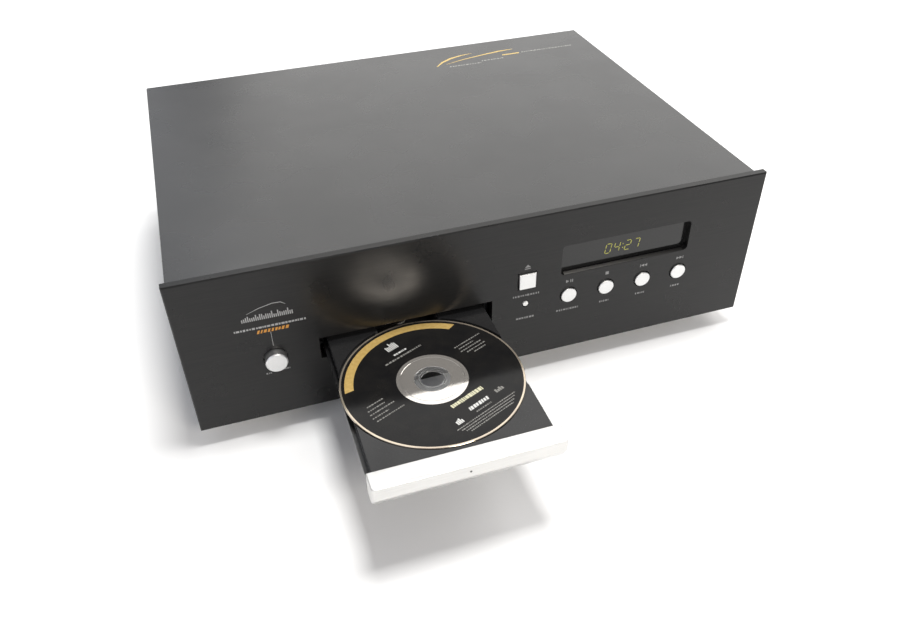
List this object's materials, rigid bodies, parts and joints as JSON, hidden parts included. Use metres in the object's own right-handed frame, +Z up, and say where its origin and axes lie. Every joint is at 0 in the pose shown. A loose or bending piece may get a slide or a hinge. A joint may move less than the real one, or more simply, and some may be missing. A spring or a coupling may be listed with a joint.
{
  "type": "cd player",
  "caption": "Full-width black CD player with an open front-loading tray holding a disc, transport buttons, smoked display window, feet and rear sockets, with its loading mechanism inside.",
  "frame": {"origin": "on the supporting surface, under the middle of the whole player measured with its tray open", "axes": "+X to the right seen from the front, +Y from the front panel to the back, +Z up"},
  "size_m": [0.425, 0.474, 0.1385],
  "materials": {
    "front_panel_finish": "horizontally brushed, black anodised",
    "cover_paint": "semi-gloss black powder coat",
    "rear_paint": "matte black paint",
    "plated_steel": "zinc plated sheet",
    "foot_shell": "turned, satin black",
    "rubber": "matte",
    "screw_steel": "black oxide",
    "bright_screw": "zinc plated",
    "standoff_brass": "machined",
    "button_metal": "turned and bead-blasted silver",
    "window_glass": "smoked, polished",
    "display_face": "dark display tube",
    "infrared_lens": "polished white",
    "tray_plastic": "fine moulded texture, charcoal",
    "bar_metal": "fine bead-blasted silver",
    "disc_surface": "printed label over polycarbonate",
    "natural_plastic": "natural acetal",
    "loader_plastic": "glass-filled black",
    "motor_can": "drawn steel can",
    "polished_rod": "ground and polished",
    "lens_glass": "coated optical plastic",
    "circuit_board": "solder mask",
    "component_case": "moulded component cases",
    "capacitor_sleeve": "heat-shrunk sleeve",
    "sink_metal": "black anodised extrusion",
    "winding_tape": "polyester winding tape",
    "ceramic": "glazed ceramic",
    "valve_glass": "clear blown glass",
    "gold_plate": "gold plated",
    "inlet_plastic": "moulded black",
    "switch_plastic": "moulded black"
  },
  "bodies": {
    "case": {"front_panel": "front_panel_finish", "top_cover": "cover_paint", "bottom_pan": "plated_steel", "rear_panel": "rear_paint", "foot_front_left": "foot_shell", "foot_front_right": "foot_shell", "foot_rear_left": "foot_shell", "foot_rear_right": "foot_shell", "foot_pads": "rubber", "foot_screws": "bright_screw", "case_screws": "screw_steel", "control_bracket": "plated_steel", "button_switches": "switch_plastic", "control_board": "circuit_board", "display_window": "window_glass", "display_module": "display_face", "remote_lens": "infrared_lens", "remote_sensor": "component_case", "power_switch": "switch_plastic", "loading_motor": "motor_can", "drive_belt": "rubber", "loader_frame": "loader_plastic", "loader_grommets": "rubber", "clamp_bridge": "plated_steel", "main_board": "circuit_board", "supply_board": "circuit_board", "board_standoffs": "standoff_brass", "transformer": "winding_tape", "transformer_clamp": "bright_screw", "capacitors": "capacitor_sleeve", "heat_sink": "sink_metal", "signal_chips": "component_case", "valve_sockets": "ceramic", "valve_left": "valve_glass", "valve_right": "valve_glass", "left_output_jack": "gold_plate", "right_output_jack": "gold_plate", "digital_output_jack": "gold_plate", "power_inlet": "inlet_plastic"},
    "tray": {"disc_tray": "tray_plastic", "tray_front": "bar_metal"},
    "disc": {"disc": "disc_surface"},
    "tray_gear": {"tray_gear": "natural_plastic"},
    "motor_pulley": {"motor_pulley": "natural_plastic"},
    "laser_unit": {"base_unit": "loader_plastic", "guide_rods": "polished_rod", "spindle_motor": "motor_can", "sled_motor": "motor_can"},
    "lift_cam": {"lift_cam": "natural_plastic"},
    "turntable": {"turntable": "loader_plastic"},
    "laser_sled": {"laser_sled": "loader_plastic"},
    "objective_lens": {"objective_lens": "lens_glass"},
    "sled_gear": {"sled_gear": "natural_plastic"},
    "clamp_puck": {"clamp_puck": "loader_plastic"},
    "power_button": {"power_button": "button_metal"},
    "open_close_button": {"open_close_button": "button_metal"},
    "play_pause_button": {"play_pause_button": "button_metal"},
    "stop_button": {"stop_button": "button_metal"},
    "previous_button": {"previous_button": "button_metal"},
    "next_button": {"next_button": "button_metal"}
  },
  "joints": [
    {"name": "tray_slide", "type": "slide", "parent": "case", "child": "tray", "axis": [0, 1, 0], "range_m": [0, 0.134]},
    {"name": "disc_spin", "type": "hinge", "parent": "tray", "child": "disc", "pos_m": [-0.0605, -0.157, 0.0694], "axis": [0, 0, 1], "continuous": true},
    {"name": "tray_gear_spin", "type": "hinge", "parent": "case", "child": "tray_gear", "pos_m": [-0.0985, -0.071, 0.058], "axis": [0, 0, 1], "range_deg": [-770, 0]},
    {"name": "motor_pulley_spin", "type": "hinge", "parent": "case", "child": "motor_pulley", "pos_m": [-0.0605, -0.071, 0.0545], "axis": [0, 0, 1], "range_deg": [-2530, 0]},
    {"name": "laser_unit_lift", "type": "hinge", "parent": "case", "child": "laser_unit", "pos_m": [-0.0605, 0.051, 0.05225], "axis": [-1, 0, 0], "range_deg": [0, 8]},
    {"name": "lift_cam_slide", "type": "slide", "parent": "case", "child": "lift_cam", "axis": [-1, 0, 0], "range_m": [0, 0.022]},
    {"name": "turntable_spin", "type": "hinge", "parent": "laser_unit", "child": "turntable", "pos_m": [-0.0605, -0.02405, 0.05458], "axis": [0, -0.1392, 0.9903], "continuous": true},
    {"name": "clamp_puck_spin", "type": "hinge", "parent": "case", "child": "clamp_puck", "pos_m": [-0.0605, -0.023, 0.075], "axis": [0, 0, 1], "continuous": true},
    {"name": "laser_sled_slide", "type": "slide", "parent": "laser_unit", "child": "laser_sled", "axis": [0, 0.9903, 0.1392], "range_m": [0, 0.033]},
    {"name": "sled_gear_spin", "type": "hinge", "parent": "laser_unit", "child": "sled_gear", "pos_m": [-0.1035, 0.01292, 0.05018], "axis": [0, -0.1392, 0.9903], "range_deg": [0, 237]},
    {"name": "lens_focus", "type": "slide", "parent": "laser_sled", "child": "objective_lens", "axis": [0, -0.1392, 0.9903], "range_m": [-0.0004, 0.0004], "stiffness_N_per_m": 30},
    {"name": "power_button_press", "type": "slide", "parent": "case", "child": "power_button", "axis": [0, 1, 0], "range_m": [0, 0.0025], "stiffness_N_per_m": 900},
    {"name": "open_close_button_press", "type": "slide", "parent": "case", "child": "open_close_button", "axis": [0, 1, 0], "range_m": [0, 0.0008], "stiffness_N_per_m": 1200},
    {"name": "play_pause_button_press", "type": "slide", "parent": "case", "child": "play_pause_button", "axis": [0, 1, 0], "range_m": [0, 0.0008], "stiffness_N_per_m": 1200},
    {"name": "stop_button_press", "type": "slide", "parent": "case", "child": "stop_button", "axis": [0, 1, 0], "range_m": [0, 0.0008], "stiffness_N_per_m": 1200},
    {"name": "previous_button_press", "type": "slide", "parent": "case", "child": "previous_button", "axis": [0, 1, 0], "range_m": [0, 0.0008], "stiffness_N_per_m": 1200},
    {"name": "next_button_press", "type": "slide", "parent": "case", "child": "next_button", "axis": [0, 1, 0], "range_m": [0, 0.0008], "stiffness_N_per_m": 1200}
  ],
  "couplings": [
    {"joint": "tray_gear_spin", "follows": "tray_slide", "rad_per_m": -100},
    {"joint": "motor_pulley_spin", "follows": "tray_slide", "rad_per_m": -328.21},
    {"joint": "lift_cam_slide", "follows": "laser_unit_lift", "m_per_rad": 0.15756},
    {"joint": "clamp_puck_spin", "follows": "turntable_spin", "ratio": 1},
    {"joint": "sled_gear_spin", "follows": "laser_sled_slide", "rad_per_m": 125}
  ]
}
